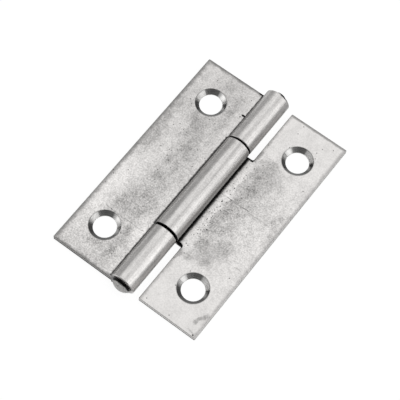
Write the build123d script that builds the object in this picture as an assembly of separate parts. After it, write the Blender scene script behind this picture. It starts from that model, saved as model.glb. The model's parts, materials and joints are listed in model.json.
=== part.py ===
from build123d import *
import os
from math import asin, degrees

# Narrow butt hinge of bright mild steel, lying open on its back. Each leaf is one blank of sheet
# whose strips are rolled into knuckles round a headed wire pin.
# Millimetres. +X runs across the open leaves, +Y along the barrel and +Z up, with z = 0 on the
# leaves' backs, x = 0 at the barrel's axis and y = 0 at the middle of the leaves' length.

# Leaves
sheet = 1.1                     # thickness of the steel
leaf_length = 50.0              # along the barrel
leaf_reach = 17.1               # barrel axis to a leaf's outer edge
end_notch_clearance = 1.05      # barrel's side to the edge of the notches at a leaf's ends
middle_notch_clearance = 0.2    # barrel's side to the edge of the other leaf's middle notch
notch_radius = 0.35             # inside corners of the notches
corner_radius = 0.2             # outside corners of the blank
edge_break = 0.15               # chamfer on the sheet's edges, as tumbling leaves them

# Knuckles
middle_knuckle_length = 23.25
middle_knuckle_offset = 0.13    # its middle, from the leaf's middle
upper_knuckle_gap = 0.27        # between knuckles, at the pin's plain end
lower_knuckle_gap = 0.38        # between knuckles, at the pin's head
knuckle_overrun = 0.17          # outer knuckles past the leaf's ends, as the strip spreads in the die
seam_gap = 0.3                  # between a roll's free end and its own leaf

# Screw holes
hole_end_inset = 7.95           # leaf's end to a hole's centre
hole_side_inset = 6.35          # leaf's outer edge to a hole's centre
hole_diameter = 4.72
countersink_diameter = 6.4
countersink_angle = 90.0

# Pin
pin_diameter = 3.1
running_clearance = 0.06        # pin to bore, on the radius
head_overhang = 0.6             # head past the wire, all round
head_crown = 1.05               # height of the domed head
head_stand_off = 0.25           # knuckle's end to the back of the head
plain_end_projection = 0.85     # plain end past the other knuckle
plain_end_chamfer = 0.4

# What follows from them
half_length = leaf_length / 2
bore_radius = pin_diameter / 2 + running_clearance
barrel_radius = bore_radius + sheet
barrel_length = leaf_length + 2 * knuckle_overrun
barrel_axis = Axis((0, 0, barrel_radius), (0, 1, 0))
roll_angle = 270 + degrees(asin((bore_radius - seam_gap) / barrel_radius))
middle_knuckle_top = middle_knuckle_offset + middle_knuckle_length / 2
middle_knuckle_bottom = middle_knuckle_offset - middle_knuckle_length / 2
end_notch_reach = barrel_radius + end_notch_clearance
middle_notch_reach = barrel_radius + middle_notch_clearance
same_place = 1e-4


def rolled_leaf(notches, notch_reach):
    """One leaf on the +X side, its blank cut by notches given as (low, high) along the barrel."""
    blank = Pos(leaf_reach / 2, 0) * Rectangle(leaf_reach, leaf_length)
    blank += Pos(barrel_radius / 2, 0) * Rectangle(barrel_radius, barrel_length)
    for low, high in notches:
        cut = RectangleRounded(2 * notch_reach, high - low, notch_radius)
        blank -= Pos(0, (low + high) / 2) * cut

    # Corners beside the barrel stay square, because the strips roll on from there.
    ends = blank.vertices().filter_by(lambda v: abs(v.Y) > half_length - same_place)
    blank = fillet(ends.filter_by(lambda v: v.X > barrel_radius + same_place), corner_radius)

    # The flat, with both faces' edges broken all round but at the axis line.
    flat = extrude(blank, sheet)
    levels = flat.edges().group_by(Axis.Z)
    broken = [e for e in levels[0] + levels[-1] if e.center().X > same_place]
    flat = chamfer(broken, edge_break)

    # Each strip's end section is carried round the pin to make its knuckle.
    leaf = flat
    for section in flat.faces().group_by(Axis.X)[0]:
        leaf += revolve(section, barrel_axis, roll_angle)

    hole = CounterSinkHole(hole_diameter / 2, countersink_diameter / 2, sheet * 2, countersink_angle)
    hole_y = half_length - hole_end_inset
    for y in (-hole_y, hole_y):
        leaf -= Pos(leaf_reach - hole_side_inset, y, sheet) * hole
    return leaf


def headed_pin():
    """Wire pin on the barrel's axis, domed head at the lower end and chamfered at the plain end."""
    radius = pin_diameter / 2
    head_radius = radius + head_overhang
    head_back = -barrel_length / 2 - head_stand_off
    head_top = head_back - head_crown
    plain_end = barrel_length / 2 + plain_end_projection
    side = Polyline(
        (0, plain_end),
        (radius - plain_end_chamfer, plain_end),
        (radius, plain_end - plain_end_chamfer),
        (radius, head_back),
        (head_radius, head_back),
    )
    dome_radius = (head_radius**2 + head_crown**2) / (2 * head_crown)
    dome_centre = (0, head_top + dome_radius)
    dome = CenterArc(dome_centre, dome_radius, 270, degrees(asin(head_radius / dome_radius)))
    centre_line = Line((0, head_top), (0, plain_end))
    section = make_face([side, dome, centre_line])
    return Pos(0, 0, barrel_radius) * revolve(section, Axis.Y)


middle_notch = (middle_knuckle_bottom - lower_knuckle_gap, middle_knuckle_top + upper_knuckle_gap)
upper_notch = (middle_knuckle_top, leaf_length)     # both run out past the leaf's ends
lower_notch = (-leaf_length, middle_knuckle_bottom)
outer_leaf = rolled_leaf([middle_notch], middle_notch_reach)
middle_leaf = rolled_leaf([lower_notch, upper_notch], end_notch_reach)

nodes = {
    "leaf_outer_knuckles": mirror(outer_leaf, Plane.YZ),
    "leaf_middle_knuckle": middle_leaf,
    "hinge_pin": headed_pin(),
}

os.makedirs("parts", exist_ok=True)
for name, piece in nodes.items():
    export_step(piece, f"parts/{name}.step")
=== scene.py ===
import json
import math
import bpy
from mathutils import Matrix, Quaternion, Vector


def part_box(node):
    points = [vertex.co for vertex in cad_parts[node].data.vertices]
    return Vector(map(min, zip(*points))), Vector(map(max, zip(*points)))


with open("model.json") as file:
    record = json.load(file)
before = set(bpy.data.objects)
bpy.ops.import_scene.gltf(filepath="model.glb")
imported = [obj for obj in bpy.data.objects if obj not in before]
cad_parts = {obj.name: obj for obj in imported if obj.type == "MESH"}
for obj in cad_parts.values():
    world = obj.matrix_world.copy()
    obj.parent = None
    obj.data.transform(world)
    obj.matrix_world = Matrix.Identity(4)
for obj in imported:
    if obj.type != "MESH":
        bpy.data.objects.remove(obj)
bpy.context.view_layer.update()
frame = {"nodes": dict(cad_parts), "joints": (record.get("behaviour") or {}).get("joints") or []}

# Leaf with the outer knuckles
# One blank of cold-rolled mild steel, sheared, pierced, countersunk and tumbled to a satin finish.
# Its two end strips are rolled round the pin, which they grip. Finish sizes are in millimetres.

millimetres = 1000              # in a metre
barrel_axis_height = frame["joints"][0]["pos_m"][2]
barrel_radius = barrel_axis_height * millimetres
leaf_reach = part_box("leaf_middle_knuckle")[1].x * millimetres
half_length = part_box("leaf_middle_knuckle")[1].y * millimetres
barrel_half_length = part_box("leaf_outer_knuckles")[1].y * millimetres
leaf_face = 1.1                 # height of a leaf's face above its back
hole_centre = (10.75, 17.05)    # across and along, the same in all four quarters
countersink_radius = 3.2
knuckle_gaps = ((-11.875, -11.43), (11.755, 12.025))    # the lower one with painted shade past the cut on its lip


def wire(tree, kind, feeds=None, **settings):
    """Adds a node with its settings, each input fed by another node's output or set to a value."""
    node = tree.nodes.new(kind)
    for name, value in settings.items():
        setattr(node, name, value)
    for name, value in (feeds or {}).items():
        if isinstance(value, bpy.types.NodeSocket):
            tree.links.new(value, node.inputs[name])
        else:
            node.inputs[name].default_value = value
    return node


def maths(tree, operation, first, second=0.0):
    """The result of one operation on one or two values."""
    return wire(tree, "ShaderNodeMath", {0: first, 1: second}, operation=operation).outputs[0]


def times(tree, first, *others):
    """The product of several values."""
    product = first
    for other in others:
        product = maths(tree, "MULTIPLY", product, other)
    return product


def scaled(tree, value, factor, plus=0.0):
    """A value times a factor, plus another value."""
    feeds = {0: value, 1: factor, 2: plus}
    return wire(tree, "ShaderNodeMath", feeds, operation="MULTIPLY_ADD").outputs[0]


def vectors(tree, operation, first, second=(0, 0, 0)):
    """The result of one operation on one or two vectors."""
    node = wire(tree, "ShaderNodeVectorMath", {0: first, 1: second}, operation=operation)
    return node.outputs["Value" if operation in ("LENGTH", "DOT_PRODUCT") else "Vector"]


def multiplied(tree, vector, factor):
    """A vector or a colour times a factor."""
    feeds = {0: vector, "Scale": factor}
    return wire(tree, "ShaderNodeVectorMath", feeds, operation="SCALE").outputs[0]


def axes(tree, vector):
    """The X, Y and Z of a vector."""
    return wire(tree, "ShaderNodeSeparateXYZ", {0: vector}).outputs


def ramp(tree, value, start, end, low=0.0, high=1.0):
    """A soft step of a value: low at start, high at end."""
    feeds = {"Value": value, "From Min": start, "From Max": end, "To Min": low, "To Max": high}
    step = wire(tree, "ShaderNodeMapRange", feeds, interpolation_type="SMOOTHSTEP")
    return step.outputs["Result"]


def cloud(tree, place, cells, detail=2.0, squeeze=(1, 1, 1)):
    """Noise in cells per millimetre, drawn out along an axis whose squeeze is under 1."""
    squeezed = wire(tree, "ShaderNodeMapping", {"Vector": place, "Scale": squeeze}).outputs[0]
    noise = wire(tree, "ShaderNodeTexNoise", {"Vector": squeezed, "Scale": cells, "Detail": detail})
    return noise.outputs["Fac"]


def blend_value(tree, mask, under, over):
    """One value in place of another where the mask says."""
    feeds = {"Factor": mask, 2: under, 3: over}
    return wire(tree, "ShaderNodeMix", feeds).outputs[0]


def blend_colour(tree, mask, under, over):
    """One colour laid on another where the mask says."""
    feeds = {"Factor": mask, 6: under, 7: over}
    return wire(tree, "ShaderNodeMix", feeds, data_type="RGBA").outputs[2]


def finish_group(name, inputs, outputs):
    """An empty shader group with inputs by name and kind, and outputs that are all values."""
    group = bpy.data.node_groups.new(name, "ShaderNodeTree")
    for socket, kind in inputs.items():
        group.interface.new_socket(socket, in_out="INPUT", socket_type=f"NodeSocket{kind}")
    for socket in outputs:
        group.interface.new_socket(socket, in_out="OUTPUT", socket_type="NodeSocketFloat")
    entry = group.nodes.new("NodeGroupInput")
    leave = group.nodes.new("NodeGroupOutput")
    return group, entry.outputs, leave.inputs


def use(tree, group, feeds):
    """The outputs of a finish group placed in a material."""
    return wire(tree, "ShaderNodeGroup", feeds, node_tree=group).outputs


# Satin grain: fine light and dark grains, wider mottling, and pits left by the rolling mill.
noise_middle = 0.5
fine_detail = 3.0
fine_cells = 3.4
fine_share = 0.75
coarse_cells = 0.9
mottle_cells = 0.5
mottle_squeeze = (1.0, 0.7, 1.0)
mottle_step = (0.32, 0.68)
pit_cells = 2.2
pit_border = (0.34, 0.18)

satin, satin_in, satin_out = finish_group(
    "satin_grain", {"Place": "Vector", "Pit Share": "Float"}, ["Speckle", "Mottle", "Pit"]
)
fine = cloud(satin, satin_in["Place"], fine_cells, fine_detail)
coarse = cloud(satin, satin_in["Place"], coarse_cells)
centred = scaled(satin, coarse, 1 - fine_share, -noise_middle)
satin.links.new(scaled(satin, fine, fine_share, centred), satin_out["Speckle"])
mottle = cloud(satin, satin_in["Place"], mottle_cells, fine_detail, mottle_squeeze)
satin.links.new(ramp(satin, mottle, *mottle_step), satin_out["Mottle"])
cell_feeds = {"Vector": satin_in["Place"], "Scale": pit_cells}
cells = wire(satin, "ShaderNodeTexVoronoi", cell_feeds, voronoi_dimensions="2D")
spot = ramp(satin, cells.outputs["Distance"], *pit_border)
chance = wire(satin, "ShaderNodeSeparateColor", {0: cells.outputs["Color"]}).outputs[0]
rare = maths(satin, "LESS_THAN", chance, satin_in["Pit Share"])
satin.links.new(times(satin, spot, rare), satin_out["Pit"])

# Dull patch: a soft oval that fades out evenly, where the tumbling media hardly reached.
patch, patch_in, patch_out = finish_group(
    "dull_patch", {"Place": "Vector", "Centre": "Vector", "Reach": "Vector"}, ["Mask"]
)
offset = vectors(patch, "SUBTRACT", patch_in["Place"], patch_in["Centre"])
shares = vectors(patch, "DIVIDE", offset, patch_in["Reach"])
spread = vectors(patch, "DOT_PRODUCT", shares, shares)
patch.links.new(maths(patch, "EXPONENT", times(patch, spread, -1)), patch_out["Mask"])

# Seam shade: a black line painted beside the barrel as the barrel's shade on the leaf, ragged at its
# border.
ragged_cells = 1.6
ragged_width = 0.3
across_barrel = (1, 0, 1)

seam_shade, seam_shade_in, seam_shade_out = finish_group(
    "painted_seam_shade",
    {
        "Place": "Vector",
        "Line": "Vector",
        "From": "Float",
        "To": "Float",
        "Inner": "Float",
        "Outer": "Float",
    },
    ["Mask"],
)
away = vectors(seam_shade, "SUBTRACT", seam_shade_in["Place"], seam_shade_in["Line"])
distance = vectors(seam_shade, "LENGTH", vectors(seam_shade, "MULTIPLY", away, across_barrel))
nearer = maths(seam_shade, "SUBTRACT", distance, ragged_width / 2)
ragged = scaled(seam_shade, cloud(seam_shade, seam_shade_in["Place"], ragged_cells), ragged_width, nearer)
lodged = ramp(seam_shade, ragged, seam_shade_in["Outer"], seam_shade_in["Inner"])
along = axes(seam_shade, seam_shade_in["Place"])["Y"]
past_start = maths(seam_shade, "GREATER_THAN", along, seam_shade_in["From"])
before_end = maths(seam_shade, "LESS_THAN", along, seam_shade_in["To"])
seam_shade.links.new(times(seam_shade, lodged, past_start, before_end), seam_shade_out["Mask"])

# Knuckle roll: where the strip is rolled, how far round it in degrees from the top, and the fine
# lines that the curling die drew along it.
die_line_cells = 4.0
drawn_out = (1.0, 0.05, 1.0)
die_line_step = (0.3, 0.7)
roll_border = (0.35, 0.1)       # past the roll's outside

roll, roll_in, roll_out = finish_group(
    "knuckle_roll", {"Place": "Vector", "Radius": "Float"}, ["Knuckle", "Angle", "Lines"]
)
die_lines = cloud(roll, roll_in["Place"], die_line_cells, fine_detail, drawn_out)
roll.links.new(ramp(roll, die_lines, *die_line_step), roll_out["Lines"])
roll_xyz = axes(roll, roll_in["Place"])
rise = maths(roll, "SUBTRACT", roll_xyz["Z"], roll_in["Radius"])
turned = maths(roll, "DEGREES", maths(roll, "ARCTAN2", roll_xyz["X"], rise))
roll.links.new(turned, roll_out["Angle"])
section = wire(roll, "ShaderNodeCombineXYZ", {"X": roll_xyz["X"], "Z": rise}).outputs[0]
outside = maths(roll, "SUBTRACT", vectors(roll, "LENGTH", section), roll_in["Radius"])
roll.links.new(ramp(roll, outside, *roll_border), roll_out["Knuckle"])

# Edge shade: a wavy dark band painted along the sheared edges that the tumbling rounded over, as
# the shade on their rounded border, on the long sides and the notches beside a strip, and on the ends.
wavy_cells = 0.8
wavy_least = 0.3
wavy_rise = 1.4
far_off = 100

edge_shade, edge_shade_in, edge_shade_out = finish_group(
    "painted_edge_shade",
    {
        "Place": "Vector",
        "Reach": "Float",
        "Half Length": "Float",
        "Notch": "Float",
        "Notch From": "Float",
        "Side Band": "Float",
        "End Band": "Float",
        "End Shift": "Float",
    },
    ["Side", "End"],
)
edge_xyz = axes(edge_shade, edge_shade_in["Place"])
edge_x = maths(edge_shade, "ABSOLUTE", edge_xyz["X"])
edge_y = maths(edge_shade, "ABSOLUTE", edge_xyz["Y"])
wavy = scaled(edge_shade, cloud(edge_shade, edge_shade_in["Place"], wavy_cells, fine_detail), wavy_rise, wavy_least)
from_side = maths(edge_shade, "SUBTRACT", edge_shade_in["Reach"], edge_x)
on_strip = maths(edge_shade, "LESS_THAN", edge_y, edge_shade_in["Notch From"])
past_notch = maths(edge_shade, "SUBTRACT", edge_x, edge_shade_in["Notch"])
from_notch = scaled(edge_shade, on_strip, far_off, past_notch)
nearest = maths(edge_shade, "MINIMUM", from_side, from_notch)
shifted_y = maths(edge_shade, "ABSOLUTE", maths(edge_shade, "ADD", edge_xyz["Y"], edge_shade_in["End Shift"]))
from_end = maths(edge_shade, "SUBTRACT", edge_shade_in["Half Length"], shifted_y)
for from_edge, edge in ((nearest, "Side"), (from_end, "End")):
    width = times(edge_shade, wavy, edge_shade_in[f"{edge} Band"])
    share = maths(edge_shade, "DIVIDE", from_edge, width)
    edge_shade.links.new(ramp(edge_shade, share, 1.0, 0.0), edge_shade_out[edge])

# Cropped end: where the blank is cut to length, burnished by the blade above and torn below. The
# upper band is lightened as a painted highlight and the lower band painted black as shade.
end_border = (-0.12, -0.03)
burnished_highlight_step = (0.55, 0.7)    # height above the back
torn_shade_step = (0.7, 0.55)

cropped, cropped_in, cropped_out = finish_group(
    "cropped_end", {"Place": "Vector", "Half Length": "Float"}, ["Burnished Highlight", "Torn Shade"]
)
cropped_xyz = axes(cropped, cropped_in["Place"])
cropped_y = maths(cropped, "ABSOLUTE", cropped_xyz["Y"])
past_end = maths(cropped, "SUBTRACT", cropped_y, cropped_in["Half Length"])
end_face = ramp(cropped, past_end, *end_border)
for step, output in ((burnished_highlight_step, "Burnished Highlight"), (torn_shade_step, "Torn Shade")):
    band = ramp(cropped, cropped_xyz["Z"], *step)
    cropped.links.new(times(cropped, end_face, band), cropped_out[output])

# Countersink: the cone cut bright by the tool, its turning marks, the burr at its rim, and how far
# round the hole in degrees from the +X side.
above_back_step = (0.05, 0.15)
cone_border = 0.04
turning_cells = 7.0
burr_border = (0.16, 0.03)

sink, sink_in, sink_out = finish_group(
    "countersink",
    {"Place": "Vector", "Hole": "Vector", "Radius": "Float"},
    ["Cone", "Turning", "Rim", "Angle"],
)
level_place = vectors(sink, "MULTIPLY", sink_in["Place"], (1, 1, 0))
own_hole = vectors(sink, "MULTIPLY", vectors(sink, "SIGN", level_place), sink_in["Hole"])
off_centre = vectors(sink, "SUBTRACT", level_place, own_hole)
off_xyz = axes(sink, off_centre)
around = maths(sink, "DEGREES", maths(sink, "ARCTAN2", off_xyz["Y"], off_xyz["X"]))
sink.links.new(around, sink_out["Angle"])
from_centre = vectors(sink, "LENGTH", off_centre)
from_rim = maths(sink, "SUBTRACT", from_centre, sink_in["Radius"])
above_back = ramp(sink, axes(sink, sink_in["Place"])["Z"], *above_back_step)
inside_rim = ramp(sink, from_rim, cone_border, -cone_border)
sink.links.new(times(sink, inside_rim, above_back), sink_out["Cone"])
rings = wire(sink, "ShaderNodeCombineXYZ", {"X": from_centre}).outputs[0]
sink.links.new(cloud(sink, rings, turning_cells), sink_out["Turning"])
burr = ramp(sink, maths(sink, "ABSOLUTE", from_rim), *burr_border)
sink.links.new(times(sink, burr, above_back), sink_out["Rim"])

# Hairline: a thin scratch across the leaf's face, faint here and there.
hair_cells = 0.7
hair_sway = 0.5
hair_border = (0.13, 0.04)
face_step = (0.5, 0.9)          # height above the back
faint_step = (0.35, 0.5)
faintest = 0.3

hairline, hairline_in, hairline_out = finish_group(
    "hairline", {"Place": "Vector", "Along": "Float", "From": "Float", "To": "Float"}, ["Mask"]
)
hair_xyz = axes(hairline, hairline_in["Place"])
swaying = cloud(hairline, hairline_in["Place"], hair_cells)
straight = maths(hairline, "SUBTRACT", hairline_in["Along"], hair_sway / 2)
hair = scaled(hairline, swaying, hair_sway, straight)
off_hair = maths(hairline, "ABSOLUTE", maths(hairline, "SUBTRACT", hair_xyz["Y"], hair))
scratched = ramp(hairline, off_hair, *hair_border)
past_start = maths(hairline, "GREATER_THAN", hair_xyz["X"], hairline_in["From"])
before_end = maths(hairline, "LESS_THAN", hair_xyz["X"], hairline_in["To"])
on_face = ramp(hairline, hair_xyz["Z"], *face_step)
clearness = ramp(hairline, swaying, *faint_step, faintest, 1.0)
hair_mask = times(hairline, past_start, before_end, scratched, on_face, clearness)
hairline.links.new(hair_mask, hairline_out["Mask"])

# Knuckle end: the slot between two knuckles, painted black as shade, and the rims beside it, given
# a painted highlight.
slot_border = (0.1, 0.02)
rim_offset = 0.17
rim_border = (0.1, 0.03)

slot, slot_in, slot_out = finish_group(
    "knuckle_end", {"Place": "Vector", "Low": "Float", "High": "Float"}, ["Slot", "Rim"]
)
slot_y = axes(slot, slot_in["Place"])["Y"]
below = maths(slot, "SUBTRACT", slot_in["Low"], slot_y)
above = maths(slot, "SUBTRACT", slot_y, slot_in["High"])
clear = maths(slot, "MAXIMUM", below, above)
slot.links.new(ramp(slot, clear, *slot_border), slot_out["Slot"])
off_rim = maths(slot, "ABSOLUTE", maths(slot, "SUBTRACT", clear, rim_offset))
slot.links.new(ramp(slot, off_rim, *rim_border), slot_out["Rim"])


def steel(name):
    """A bare metal, with its nodes, its shader and the places on its surface in millimetres."""
    material = bpy.data.materials.new(name)
    material.use_nodes = True
    tree = material.node_tree
    shader = tree.nodes["Principled BSDF"]
    shader.inputs["Metallic"].default_value = 1
    coordinates = wire(tree, "ShaderNodeTexCoord").outputs["Object"]
    feeds = {"Vector": coordinates, "Scale": (millimetres, millimetres, millimetres)}
    place = wire(tree, "ShaderNodeMapping", feeds).outputs[0]
    return material, tree, shader, place


def oval(tree, place, centre, reach):
    """Where a soft oval lies, by its centre and its half widths."""
    return use(tree, patch, {"Place": place, "Centre": centre, "Reach": reach})["Mask"]


# The patches' borders wander by about half a millimetre either way.
border_cells = 0.55
border_wander = 2.2
border_step = (0.10, 0.21)
patch_height = 1.2
mottled_least = 0.75
mottled_rise = 0.5
mottled_all_over = 0.06


def dullness(tree, place, mottle, border, patches):
    """How dull a leaf's face is, from its patches and the mottling on them."""
    feeds = {"Vector": place, "Scale": border_cells, "Detail": fine_detail}
    noise = wire(tree, "ShaderNodeTexNoise", feeds).outputs["Color"]
    wander = vectors(tree, "SUBTRACT", noise, (noise_middle, noise_middle, noise_middle))
    warped = vectors(tree, "ADD", place, multiplied(tree, wander, border_wander))
    total = 0.0
    for x, y, wide, long, depth in patches:
        mask = oval(tree, warped, (x, y, leaf_face), (wide, long, patch_height))
        total = scaled(tree, mask, depth, total)
    stepped = scaled(tree, ramp(tree, total, *border_step), border["sharp"])
    patchy = scaled(tree, total, border["soft"], stepped)
    mottled = times(tree, patchy, scaled(tree, mottle, mottled_rise, mottled_least))
    return scaled(tree, mottle, mottled_all_over, mottled)


# The grains are strongest in one zone along the barrel, and stronger where the face is dull.
zone_width = 40
zone_height = 4
dull_speckle = 1.2


def face_lightness(tree, place, grain, dull, tone, speckle):
    """How light a leaf's flat face is."""
    centre = (0, speckle["centre"], leaf_face)
    zone = oval(tree, place, centre, (zone_width, speckle["reach"], zone_height))
    strength = scaled(tree, dull, dull_speckle, speckle["least"])
    strength = scaled(tree, zone, speckle["most"] - speckle["least"], strength)
    return scaled(tree, grain["Speckle"], strength, maths(tree, "SUBTRACT", tone, dull))


# The tones round a roll stand for what bright steel mirrors on its sides. They are painted on, so
# they stay in place when the light or the leaf moves.
die_line_depth = 0.2
roll_speckle = 0.9


def roll_lightness(tree, rolled, grain, tone, flanks):
    """How light a knuckle is round its roll."""
    streaked = scaled(tree, rolled["Lines"], die_line_depth, tone - die_line_depth / 2)
    lightness = scaled(tree, grain["Speckle"], roll_speckle, streaked)
    for start, end, darker in flanks:
        flank = ramp(tree, rolled["Angle"], start, end, 1.0, 1.0 - darker)
        lightness = times(tree, lightness, flank)
    return lightness


# The sectors of the cones stand for what turned steel mirrors round a hole, darkest on the side
# towards the pin's head. They are painted on too.
cut_steel = (0.42, 0.416, 0.41)
cut_lightness = 0.75
cut_roughness = 0.17
turning_depth = 0.5
full_turn = 360
sector_border = 8
dark_side_angle = -80
dark_side_border = (95, 65)
dark_side_lightness = 0.22


def countersunk(tree, place, sectors):
    """A leaf's countersinks, their colour and their roughness."""
    feeds = {"Place": place, "Hole": (*hole_centre, 0), "Radius": countersink_radius}
    cut = use(tree, sink, feeds)
    lightness = cut_lightness
    roughness = cut_roughness
    for angle, half_width, lighter, rougher in sectors:
        one_way = maths(tree, "ABSOLUTE", maths(tree, "SUBTRACT", cut["Angle"], angle))
        other_way = maths(tree, "SUBTRACT", full_turn, one_way)
        off_angle = maths(tree, "MINIMUM", one_way, other_way)
        sector = ramp(tree, off_angle, half_width, half_width - sector_border)
        lightness = scaled(tree, sector, lighter, lightness)
        roughness = scaled(tree, sector, rougher, roughness)
    off_dark_side = maths(tree, "ABSOLUTE", maths(tree, "SUBTRACT", cut["Angle"], dark_side_angle))
    dark_side = ramp(tree, off_dark_side, *dark_side_border, 1.0, dark_side_lightness)
    ringed = multiplied(tree, cut_steel, scaled(tree, cut["Turning"], turning_depth, lightness))
    return cut, multiplied(tree, ringed, dark_side), roughness


# The gaps between the knuckles are painted black as their shade, and so is the barrel's rim at the
# pin's plain end, part of the way round. The rims beside them get a painted highlight.
gap_rim = 0.5
end_rim = 0.6
end_shade_depth = 0.2
end_shade_past = 1.0
end_shade_from = (6, 16)
end_shade_to = (58, 48)


def painted_gap_shade(tree, place, rolled):
    """Each slot at a knuckle's end painted black as shade, and the painted highlight beside it, as masks."""
    masks = []
    for low, high in knuckle_gaps:
        gap = use(tree, slot, {"Place": place, "Low": low, "High": high})
        black = times(tree, gap["Slot"], rolled["Knuckle"])
        rim = times(tree, gap["Rim"], rolled["Knuckle"], gap_rim)
        masks.append((black, rim))
    feeds = {
        "Place": place,
        "Low": barrel_half_length - end_shade_depth,
        "High": barrel_half_length + end_shade_past,
    }
    plain_end = use(tree, slot, feeds)
    end_shade_start = ramp(tree, rolled["Angle"], *end_shade_from)
    end_shade_end = ramp(tree, rolled["Angle"], *end_shade_to)
    gap_shade = times(tree, end_shade_start, end_shade_end, rolled["Knuckle"])
    black = times(tree, plain_end["Slot"], gap_shade)
    rim = times(tree, plain_end["Rim"], gap_shade, end_rim)
    masks.append((black, rim))
    return masks


bright_steel = (0.60, 0.587, 0.576)
edge_grey = (0.2, 0.197, 0.193, 1)
burnished_highlight_steel = (0.9, 0.885, 0.87, 1)
pit_grey = (0.06, 0.059, 0.058, 1)
painted_shade_black = (0.006, 0.006, 0.006, 1)
pit_zone_height = 3
pit_depth = 0.8
burr_depth = 0.55
speck_height = 1.0
speck_border = (0.2, 0.6)
tumbled_roughness = 0.33
dull_roughness = 0.25           # this and the next two are added to the tumbled face's
edge_roughness = 0.35
shade_roughness = 0.3
speckle_relief = 2.0
leaf_relief = 0.25
relief_depth = 0.00001          # metres


def leaf_steel(
    name, tone, roll_tone, speckle, border, pits, patches, specks, hairlines, seams, edges, flanks, sectors
):
    """Tumbled sheet steel with one leaf's own tones and marks.

    tone, roll_tone: lightness of the face and of the knuckles
    speckle: least and most strength of the grains, and the zone along the barrel of the most
    border: how much of a patch fades out softly, and how much is added inside its sharp border
    pits: the zone where they lie closer, what it adds to their share, and their share all over
    edges: where the notches are, and widths and depths of the bands on the edges and cut ends

    The rest are rows of numbers.
    patches: middle across and along, half widths across and along, depth (below 0 where brighter)
    specks: middle across and along, half widths across and along
    hairlines: place along, start and end across, depth
    seams: place across and up, start and end along, width of the black and of its border, depth
    flanks: degrees from the top where a tone starts and is full, and how much darker it is
    sectors: degrees round a hole, half width, how much lighter, how much rougher
    """
    material, tree, shader, place = steel(name)
    rolled = use(tree, roll, {"Place": place, "Radius": barrel_radius})
    flat = maths(tree, "SUBTRACT", 1.0, rolled["Knuckle"])

    # Bare steel, satin on the face and drawn on the knuckles
    pit_zone = oval(tree, place, (*pits["centre"], leaf_face), (*pits["reach"], pit_zone_height))
    pit_share = scaled(tree, pit_zone, pits["zone"], pits["share"])
    grain = use(tree, satin, {"Place": place, "Pit Share": pit_share})
    dull = dullness(tree, place, grain["Mottle"], border, patches)
    on_face = face_lightness(tree, place, grain, dull, tone, speckle)
    on_roll = roll_lightness(tree, rolled, grain, roll_tone, flanks)
    lightness = blend_value(tree, rolled["Knuckle"], on_face, on_roll)
    colour = multiplied(tree, bright_steel, lightness)

    # Edges: a band of painted shade along them, a painted highlight on the cut ends, pits and scratches
    feeds = {
        "Place": place,
        "Reach": leaf_reach,
        "Half Length": half_length,
        "Notch": edges["notch"],
        "Notch From": edges["notch_from"],
        "Side Band": edges["side_band"],
        "End Band": edges["end_band"],
        "End Shift": edges["end_shift"],
    }
    edge = use(tree, edge_shade, feeds)
    # Painted shade along the sheared edges
    side = times(tree, edge["Side"], edges["side"])
    end = times(tree, edge["End"], edges["end"])
    shaded_edges = times(tree, maths(tree, "MAXIMUM", side, end), flat)
    colour = blend_colour(tree, shaded_edges, colour, edge_grey)
    sheared = use(tree, cropped, {"Place": place, "Half Length": half_length})
    # Painted highlight on the burnished upper part of the cut ends
    burnished_highlight = times(tree, sheared["Burnished Highlight"], flat, edges["burnished_highlight"])
    colour = blend_colour(tree, burnished_highlight, colour, burnished_highlight_steel)
    pitted = times(tree, grain["Pit"], flat, pit_depth)
    colour = blend_colour(tree, pitted, colour, pit_grey)
    for y, start, end, depth in hairlines:
        scratch = use(tree, hairline, {"Place": place, "Along": y, "From": start, "To": end})
        colour = blend_colour(tree, times(tree, scratch["Mask"], flat, depth), colour, pit_grey)

    # Countersinks
    cut, machined, cone_roughness = countersunk(tree, place, sectors)
    colour = blend_colour(tree, cut["Cone"], colour, machined)
    colour = blend_colour(tree, times(tree, cut["Rim"], burr_depth), colour, edge_grey)

    # Painted shade in black on the cut ends, in the knuckle gaps, in corners and along the barrel
    black = times(tree, sheared["Torn Shade"], flat, edges["torn_shade"])
    for gap_shade, rim in painted_gap_shade(tree, place, rolled):
        # Painted highlight on the knuckles' rims beside each gap
        colour = blend_colour(tree, rim, colour, (*bright_steel, 1))
        black = maths(tree, "MAXIMUM", black, gap_shade)
    # Specks: some are dark spots, some are painted shade in corners beside the barrel
    for x, y, wide, long in specks:
        speck = oval(tree, place, (x, y, leaf_face), (wide, long, speck_height))
        black = maths(tree, "MAXIMUM", black, ramp(tree, speck, *speck_border))
    for x, z, start, end, inner, outer, depth in seams:
        feeds = {"Place": place, "Line": (x, 0, z), "From": start, "To": end, "Inner": inner, "Outer": outer}
        seam = times(tree, use(tree, seam_shade, feeds)["Mask"], depth)
        black = maths(tree, "MAXIMUM", black, seam)
    colour = blend_colour(tree, black, colour, painted_shade_black)
    tree.links.new(colour, shader.inputs["Base Color"])

    # Gloss and relief
    rough = scaled(tree, dull, dull_roughness, tumbled_roughness)
    rough = scaled(tree, shaded_edges, edge_roughness, rough)
    rough = blend_value(tree, cut["Cone"], rough, cone_roughness)
    rough = scaled(tree, black, shade_roughness, rough)
    tree.links.new(rough, shader.inputs["Roughness"])
    relief = times(tree, grain["Speckle"], speckle_relief)
    relief = scaled(tree, rolled["Lines"], rolled["Knuckle"], relief)
    relief = scaled(tree, cut["Turning"], cut["Cone"], relief)
    relief = maths(tree, "SUBTRACT", relief, grain["Pit"])
    feeds = {"Strength": leaf_relief, "Distance": relief_depth, "Height": relief}
    bump = wire(tree, "ShaderNodeBump", feeds)
    tree.links.new(bump.outputs["Normal"], shader.inputs["Normal"])
    return material


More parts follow.
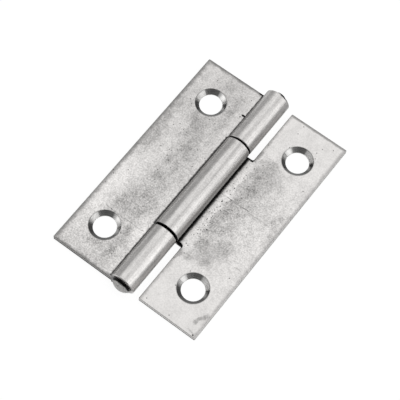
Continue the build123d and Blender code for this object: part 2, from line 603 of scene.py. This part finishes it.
outer_leaf = frame["nodes"]["leaf_outer_knuckles"]
outer_leaf.material_slots[0].material = leaf_steel(
    "outer_leaf_steel",
    tone=1.05,
    roll_tone=1.06,
    speckle={"least": 1.2, "most": 1.97, "centre": -20.0, "reach": 26.0},
    border={"soft": 0.7, "sharp": 0.08},
    pits={"centre": (-9.0, 2.0), "reach": (3.0, 10.0), "zone": 0.03, "share": 0.008},
    patches=[
        (-5.8, 17.6, 1.2, 7.0, 0.14),
        (-9.3, 19.8, 3.3, 6.0, 0.19),
        (-15.2, 16.0, 1.8, 8.0, 0.10),
        (-9.0, -19.0, 2.8, 5.0, 0.15),
        (-10.8, 12.3, 2.6, 2.0, 0.19),
        (-9.8, 7.6, 2.4, 3.0, 0.15),
        (-8.6, 4.0, 1.8, 3.5, 0.05),
        (-9.8, 1.6, 0.6, 1.2, 0.22),
        (-9.4, -2.0, 1.6, 2.2, 0.12),
        (-6.4, -8.4, 1.2, 2.4, 0.16),
        (-7.1, 2.0, 3.0, 10.5, 0.14),
        (-9.8, -7.9, 2.8, 2.2, 0.22),
        (-11.2, -11.4, 2.5, 2.1, 0.33),
        (-7.3, -11.2, 0.9, 1.4, 0.15),
        (-6.2, -15.5, 0.9, 2.2, 0.22),
        (-6.5, -20.3, 0.9, 2.0, 0.22),
        (-11.0, -21.3, 2.2, 0.9, 0.10),
        (-11.2, -23.8, 3.0, 0.8, 0.12),
        (-15.6, 4.4, 1.2, 3.6, 0.23),
        (-15.6, 11.0, 1.2, 3.2, 0.13),
        (-14.2, 3.6, 1.6, 3.6, 0.10),
        (-15.5, 20.8, 0.8, 0.8, 0.10),
        (-6.7, -4.2, 0.8, 1.2, 0.10),
        (-16.2, 0.5, 0.8, 2.4, 0.14),
        (-4.4, 16.0, 0.9, 6.0, -0.06),
        (-15.0, -9.0, 2.6, 8.0, -0.23),
        (-4.4, -14.0, 1.0, 3.0, -0.24),
    ],
    # The specks lie beside the barrel: painted shade where the leaf meets the knuckle
    specks=[(-3.75, 18.6, 0.44, 0.24), (-4.15, 18.0, 0.14, 0.12), (-3.8, 24.75, 0.5, 0.16)],
    hairlines=[(2.2, -12.0, -4.0, 0.2), (-13.6, -13.0, -4.0, 0.4)],
    # Painted shade along the barrel
    seams=[
        (-3.15, 1.1, -24.6, -11.0, 0.16, 0.52, 0.9),
        (-3.3, 1.1, -11.0, 12.8, 0.2, 0.52, 0.82),
        (-3.1, 1.1, 12.8, 25.2, 0.16, 0.52, 0.95),
    ],
    edges={
        "notch": 0.0,           # the barrel hides its notch
        "notch_from": 0.0,
        "side_band": 1.3,
        "side": 0.6,
        "end_band": 0.9,
        "end_shift": 0.08,
        "end": 0.7,
        "burnished_highlight": 0.3,
        "torn_shade": 0.9,
    },
    flanks=[(-38, -78, 0.64), (-100, -130, -1.78), (42, 62, 0.43), (82, 92, -0.72)],
    sectors=[(180, 30, 0.975, 0.27), (119, 33, -0.375, 0.3), (61, 32, 1.125, 0.12), (-142, 34, 0.3, 0.42)],
)

# Leaf with the middle knuckle
# The same sheet with one wide strip in the middle, rolled round the pin with room to turn on it.
# It came out of the tumbling brighter than the other leaf, with stains and pits along the barrel.

middle_leaf = frame["nodes"]["leaf_middle_knuckle"]
middle_leaf.material_slots[0].material = leaf_steel(
    "middle_leaf_steel",
    tone=1.18,
    roll_tone=1.0,
    speckle={"least": 0.45, "most": 1.95, "centre": 0.0, "reach": 15.0},
    border={"soft": 0.33, "sharp": 0.175},
    pits={"centre": (4.4, 0.0), "reach": (1.0, 11.0), "zone": 0.28, "share": 0.008},
    patches=[
        (7.6, 12.0, 2.8, 1.7, 0.32),
        (7.6, 9.8, 2.8, 2.0, 0.37),
        (6.9, 7.2, 2.2, 1.7, 0.37),
        (6.3, 5.2, 2.4, 2.0, 0.47),
        (7.6, 3.2, 2.1, 1.5, 0.24),
        (8.2, 1.0, 1.2, 2.2, 0.18),
        (5.4, 0.4, 0.9, 2.2, 0.16),
        (6.8, -1.4, 2.0, 1.7, 0.18),
        (5.0, -3.8, 0.9, 1.3, 0.16),
        (7.2, -4.0, 2.6, 2.0, 0.13),
        (6.8, -7.0, 2.2, 1.6, 0.27),
        (11.0, -8.4, 1.8, 1.8, 0.10),
        (11.2, -6.4, 1.2, 1.2, 0.10),
        (7.4, -9.6, 2.6, 1.6, 0.25),
        (8.4, -11.6, 2.4, 1.2, 0.22),
        (5.5, -12.7, 1.4, 1.0, 0.30),
        (15.6, -21.0, 0.5, 0.7, 0.25),
        (16.4, -20.2, 0.5, 0.9, 0.28),
        (15.3, -22.4, 0.3, 0.8, 0.33),
        (15.5, -24.0, 1.2, 0.35, 0.22),
        (16.2, 1.5, 0.8, 3.4, 0.11),
        (15.2, 3.7, 0.9, 1.8, 0.14),
        (7.3, 16.2, 1.4, 2.0, 0.11),
        (11.4, 2.0, 6.0, 11.5, 0.15),
        (4.2, 0.0, 0.8, 11.0, -0.16),
        (4.4, 6.7, 0.7, 2.2, -0.25),
        (4.0, 13.4, 0.5, 1.8, 0.24),
        (4.0, -13.4, 0.5, 1.8, 0.24),
    ],
    # The first four specks are dark spots; the last five are painted shade in the notches' corners
    specks=[
        (4.4, 4.6, 0.13, 0.13),
        (4.2, 0.8, 0.15, 0.15),
        (5.5, -5.8, 0.16, 0.14),
        (16.4, -24.6, 0.17, 0.15),
        (3.1, 11.6, 0.7, 0.24),
        (3.75, 11.8, 0.2, 0.36),
        (3.6, 11.5, 0.36, 0.24),
        (3.1, -11.38, 0.72, 0.4),
        (3.7, -11.55, 0.28, 0.34),
    ],
    hairlines=[(2.2, 3.2, 9.6, 0.6), (2.0, 9.6, 16.0, 0.25), (-8.8, 12.5, 16.0, 0.25)],
    # Painted shade along the barrel
    seams=[(2.5, 1.3, -11.5, 11.76, 0.3, 0.8, 0.97)],
    edges={
        "notch": 3.76,
        "notch_from": 11.6,
        "side_band": 0.9,
        "side": 0.36,
        "end_band": 0.5,
        "end_shift": 0.3,
        "end": 0.55,
        "burnished_highlight": 1.0,
        "torn_shade": 0.6,
    },
    flanks=[(-52, -78, 0.2), (-100, -130, -0.25), (52, 70, 0.55), (82, 95, -0.25), (110, 140, -0.75)],
    sectors=[(178, 30, 0.18, 0.072), (118, 31, -0.375, 0.3), (60, 32, 1.275, 0.27), (-142, 34, 0.3, 0.42)],
)

# Pin
# A length of drawn steel wire, headed cold at one end and cut off plain at the other. The shaft and
# the cut end are painted black as shade, and so is the top of the head's rim. The head is rubbed bright.

shaded_pin_black = (0.01, 0.01, 0.01, 1)
head_steel = (0.37, 0.365, 0.357)
cut_end_black = (0.004, 0.004, 0.004, 1)
head_shade_radius = 1.82
head_shade_border = 0.06
head_shade_step = (0.1, 0.5)           # height above the pin's axis
pin_end_border = 0.1
head_speckle = 2.4
shaft_roughness = 0.5
head_roughness = 0.12
wire_line_cells = 5.0
pin_relief = 0.15

pin = frame["nodes"]["hinge_pin"]
pin_steel, pin_tree, pin_shader, pin_place = steel("pin_steel")
pin_xyz = axes(pin_tree, pin_place)
head = ramp(pin_tree, pin_xyz["Y"], -barrel_half_length, -barrel_half_length - pin_end_border)
cut_end = ramp(pin_tree, pin_xyz["Y"], barrel_half_length, barrel_half_length + pin_end_border)
pin_speckle = use(pin_tree, satin, {"Place": pin_place})["Speckle"]
rubbed_head = multiplied(pin_tree, head_steel, scaled(pin_tree, pin_speckle, head_speckle, 1.0))
# The shaft and the cut end are painted black as shade
pin_colour = blend_colour(pin_tree, head, shaded_pin_black, rubbed_head)
pin_colour = blend_colour(pin_tree, cut_end, pin_colour, cut_end_black)
above_axis = maths(pin_tree, "SUBTRACT", pin_xyz["Z"], barrel_radius)
pin_section = wire(pin_tree, "ShaderNodeCombineXYZ", {"X": pin_xyz["X"], "Z": above_axis}).outputs[0]
from_axis = vectors(pin_tree, "LENGTH", pin_section)
head_shade_ring = ramp(pin_tree, from_axis, head_shade_radius - head_shade_border, head_shade_radius + head_shade_border)
head_shade_top = ramp(pin_tree, above_axis, *head_shade_step)
# Painted shade on the top of the head's rim
pin_colour = blend_colour(pin_tree, times(pin_tree, head, head_shade_ring, head_shade_top), pin_colour, shaded_pin_black)
pin_tree.links.new(pin_colour, pin_shader.inputs["Base Color"])
pin_rough = scaled(pin_tree, head, head_roughness - shaft_roughness, shaft_roughness)
pin_tree.links.new(pin_rough, pin_shader.inputs["Roughness"])
wire_lines = cloud(pin_tree, pin_place, wire_line_cells, fine_detail, drawn_out)
pin_height = maths(pin_tree, "ADD", wire_lines, pin_speckle)
pin_feeds = {"Strength": pin_relief, "Distance": relief_depth, "Height": pin_height}
pin_bump = wire(pin_tree, "ShaderNodeBump", pin_feeds)
pin_tree.links.new(pin_bump.outputs["Normal"], pin_shader.inputs["Normal"])
pin.material_slots[0].material = pin_steel

# Floor
# A wide white board under the hinge. It glows for the eye, so that it stays pale round the hinge
# with a faint shadow, while the steel mirrors it as a plainer board with less glow.

floor_half_width = 2.0          # metres
floor_drop = 0.00002            # just clear of the leaves' backs
board_white = 0.9
board_roughness = 0.8
shadow_strength = 0.15
seen_glow = 0.93
mirrored_glow = 0.3


def grey(level):
    """A colour without a tint."""
    return (level, level, level, 1)


bpy.ops.object.select_all(action="DESELECT")
bpy.ops.mesh.primitive_plane_add(size=2 * floor_half_width, location=(0, 0, -floor_drop))
floor = bpy.context.object
floor.name = "floor"
board = bpy.data.materials.new("white_board")
board.use_nodes = True
board_tree = board.node_tree
board_shader = board_tree.nodes["Principled BSDF"]
board_shader.inputs["Roughness"].default_value = board_roughness
board_shader.inputs["Specular IOR Level"].default_value = 0
board_shader.inputs["Emission Strength"].default_value = 1
seen = wire(board_tree, "ShaderNodeLightPath").outputs["Is Camera Ray"]
board_colour = blend_colour(board_tree, seen, grey(board_white), grey(shadow_strength))
board_tree.links.new(board_colour, board_shader.inputs["Base Color"])
board_glow = blend_colour(board_tree, seen, grey(mirrored_glow), grey(seen_glow))
board_tree.links.new(board_glow, board_shader.inputs["Emission Color"])
floor.data.materials.append(board)

# Light
# A dark room with round soft boxes, each given by where it stands, how wide it is and how bright.
# Past the edge of the board the eye sees a pale wall. Angles are in degrees.

room_grey = 0.04
wall_white = 0.95
soft_boxes = {
    "overhead": {"azimuth": -28, "elevation": 67, "inner": 12, "outer": 33, "strength": 1.25},
    "right": {"azimuth": 74, "elevation": 39, "inner": 12, "outer": 41, "strength": 1.45},
    "left_back": {"azimuth": -68, "elevation": 24, "inner": 10, "outer": 44, "strength": 0.45},
    "left_front": {"azimuth": -127, "elevation": 14, "inner": 8, "outer": 24, "strength": 1.2},
    "right_low": {"azimuth": 90, "elevation": 16, "inner": 8, "outer": 24, "strength": 0.8},
    "right_front": {"azimuth": 131, "elevation": 8, "inner": 6, "outer": 16, "strength": 1.3},
    "front": {"azimuth": -172, "elevation": 22, "inner": 10, "outer": 42, "strength": 0.33},
}

world = bpy.data.worlds.new("studio")
bpy.context.scene.world = world
world.use_nodes = True
studio = world.node_tree
background = studio.nodes["Background"]
background.inputs["Color"].default_value = (1, 1, 1, 1)
towards_sky = wire(studio, "ShaderNodeTexCoord").outputs["Generated"]
brightness = room_grey
for box in soft_boxes.values():
    azimuth = math.radians(box["azimuth"])
    elevation = math.radians(box["elevation"])
    level = math.cos(elevation)
    centre = (math.sin(azimuth) * level, math.cos(azimuth) * level, math.sin(elevation))
    facing = vectors(studio, "DOT_PRODUCT", towards_sky, centre)
    outer = math.cos(math.radians(box["outer"]))
    inner = math.cos(math.radians(box["inner"]))
    lit = ramp(studio, facing, outer, inner, 0.0, box["strength"])
    brightness = maths(studio, "ADD", lit, brightness)
eye = wire(studio, "ShaderNodeLightPath").outputs["Is Camera Ray"]
shown = blend_value(studio, eye, brightness, wall_white)
studio.links.new(shown, background.inputs["Strength"])

# Camera
# A long lens looking down on the face of the hinge, from the side of the pin's head.
# It leans a little to one side and aims a little off the middle of the barrel.

view_azimuth = math.radians(34.421)
view_elevation = math.radians(64.995)
view_roll = math.radians(3.054)
view_distance = 0.28576
aim_right = -0.000372
aim_up = -0.00216
focal_pixels = 1469.114
image_pixels = 400
sensor_width = 36.0
nearest_seen = 0.01

back = Vector((
    math.sin(view_azimuth) * math.cos(view_elevation),
    -math.cos(view_azimuth) * math.cos(view_elevation),
    math.sin(view_elevation),
))
level_view = (-back).to_track_quat("-Z", "Y")
camera_data = bpy.data.cameras.new("camera")
camera_data.sensor_width = sensor_width
camera_data.lens = focal_pixels / image_pixels * sensor_width
camera_data.clip_start = nearest_seen
camera = bpy.data.objects.new("camera", camera_data)
bpy.context.scene.collection.objects.link(camera)
camera.rotation_mode = "QUATERNION"
camera.rotation_quaternion = level_view @ Quaternion((0, 0, 1), view_roll)
aim = level_view @ Vector((aim_right, aim_up, view_distance))
camera.location = Vector((0, 0, barrel_axis_height)) + aim
bpy.context.scene.camera = camera
bpy.context.scene.view_settings.view_transform = "Standard"
